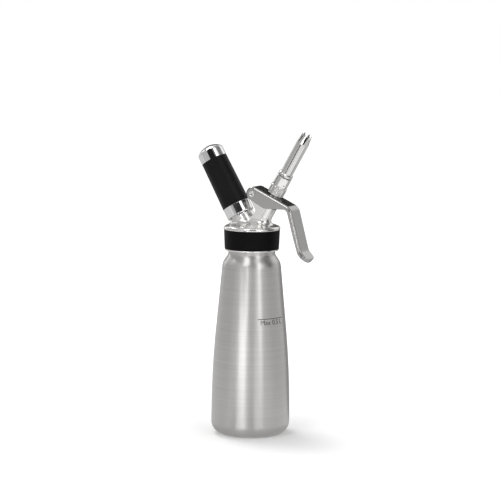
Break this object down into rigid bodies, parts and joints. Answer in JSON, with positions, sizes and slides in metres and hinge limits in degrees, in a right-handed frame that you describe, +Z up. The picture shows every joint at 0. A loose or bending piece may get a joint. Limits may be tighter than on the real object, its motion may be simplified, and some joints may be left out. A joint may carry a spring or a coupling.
{
  "type": "whipped cream dispenser",
  "caption": "Tapered steel bottle with a screw-on cast head that carries a slanted charger holder, a hand lever and a slanted nozzle with a toothed decorator tip.",
  "frame": {"origin": "centre of the bottle's base, on the surface it stands on", "axes": "+Z up along the bottle's axis; +X to the nozzle and lever side, -X to the charger holder side"},
  "size_m": [0.1288, 0.0802, 0.312],
  "materials": {
    "bottle_steel": "brushed round the axis",
    "head_casting": "polished casting",
    "band_rubber": "smooth matte",
    "gasket_silicone": "smooth matte",
    "port_steel": "machined",
    "seal_rubber": "smooth matte",
    "charger_steel": "zinc plated",
    "holder_chrome": "polished",
    "grip_rubber": "smooth matte",
    "valve_steel": "turned",
    "spring_steel": "drawn wire",
    "nozzle_chrome": "polished, knurled foot",
    "lever_steel": "satin",
    "pin_steel": "polished"
  },
  "bodies": {
    "bottle": {"bottle": "bottle_steel"},
    "gasket": {"head_gasket": "gasket_silicone"},
    "head": {"head": "head_casting", "head_band": "band_rubber", "port_nipple": "port_steel", "piercing_pin": "port_steel", "charger_seal": "seal_rubber", "gas_check_valve": "seal_rubber", "return_spring": "spring_steel", "pivot_pin": "pin_steel"},
    "charger": {"gas_charger": "charger_steel"},
    "holder": {"holder_tube": "holder_chrome", "holder_cap": "holder_chrome", "holder_grip": "grip_rubber"},
    "stem": {"valve_stem": "valve_steel", "stem_seal": "seal_rubber", "stem_ring": "seal_rubber", "thrust_collar": "valve_steel", "nozzle_adapter": "nozzle_chrome"},
    "lever": {"lever": "lever_steel"},
    "tip_seal": {"tip_seal": "seal_rubber"},
    "tip": {"decorator_tip": "nozzle_chrome"}
  },
  "joints": [
    {"name": "head_lift", "type": "slide", "parent": "bottle", "child": "gasket", "axis": [0, 0, 1], "range_m": [0, 0.0201]},
    {"name": "head_turn", "type": "hinge", "parent": "gasket", "child": "head", "pos_m": [0, 0, 0], "axis": [0, 0, 1], "range_deg": [0, 1440]},
    {"name": "charger_lift", "type": "slide", "parent": "head", "child": "charger", "axis": [-0.5, 0, 0.866], "range_m": [0, 0.0121]},
    {"name": "holder_turn", "type": "hinge", "parent": "charger", "child": "holder", "pos_m": [0, 0, 0.2028], "axis": [-0.5, 0, 0.866], "range_deg": [0, 2160]},
    {"name": "stem_travel", "type": "slide", "parent": "head", "child": "stem", "axis": [-0.5, 0, -0.866], "range_m": [0, 0.0028], "deforming": ["return_spring"]},
    {"name": "lever_press", "type": "hinge", "parent": "head", "child": "lever", "pos_m": [0.005, 0, 0.24806], "axis": [0, 1, 0], "range_deg": [0, 9], "stiffness_Nm_per_rad": 0.95, "springref_deg": -9.74},
    {"name": "tip_lift", "type": "slide", "parent": "stem", "child": "tip_seal", "axis": [0.5, 0, 0.866], "range_m": [0, 0.0121]},
    {"name": "tip_turn", "type": "hinge", "parent": "tip_seal", "child": "tip", "pos_m": [0, 0, 0.2028], "axis": [0.5, 0, 0.866], "range_deg": [0, 2880]}
  ],
  "couplings": [
    {"joint": "head_lift", "follows": "head_turn", "m_per_rad": 0.00079577},
    {"joint": "charger_lift", "follows": "holder_turn", "m_per_rad": 0.00031831},
    {"joint": "stem_travel", "follows": "lever_press", "m_per_rad": 0.0178},
    {"joint": "tip_lift", "follows": "tip_turn", "m_per_rad": 0.00023873}
  ]
}
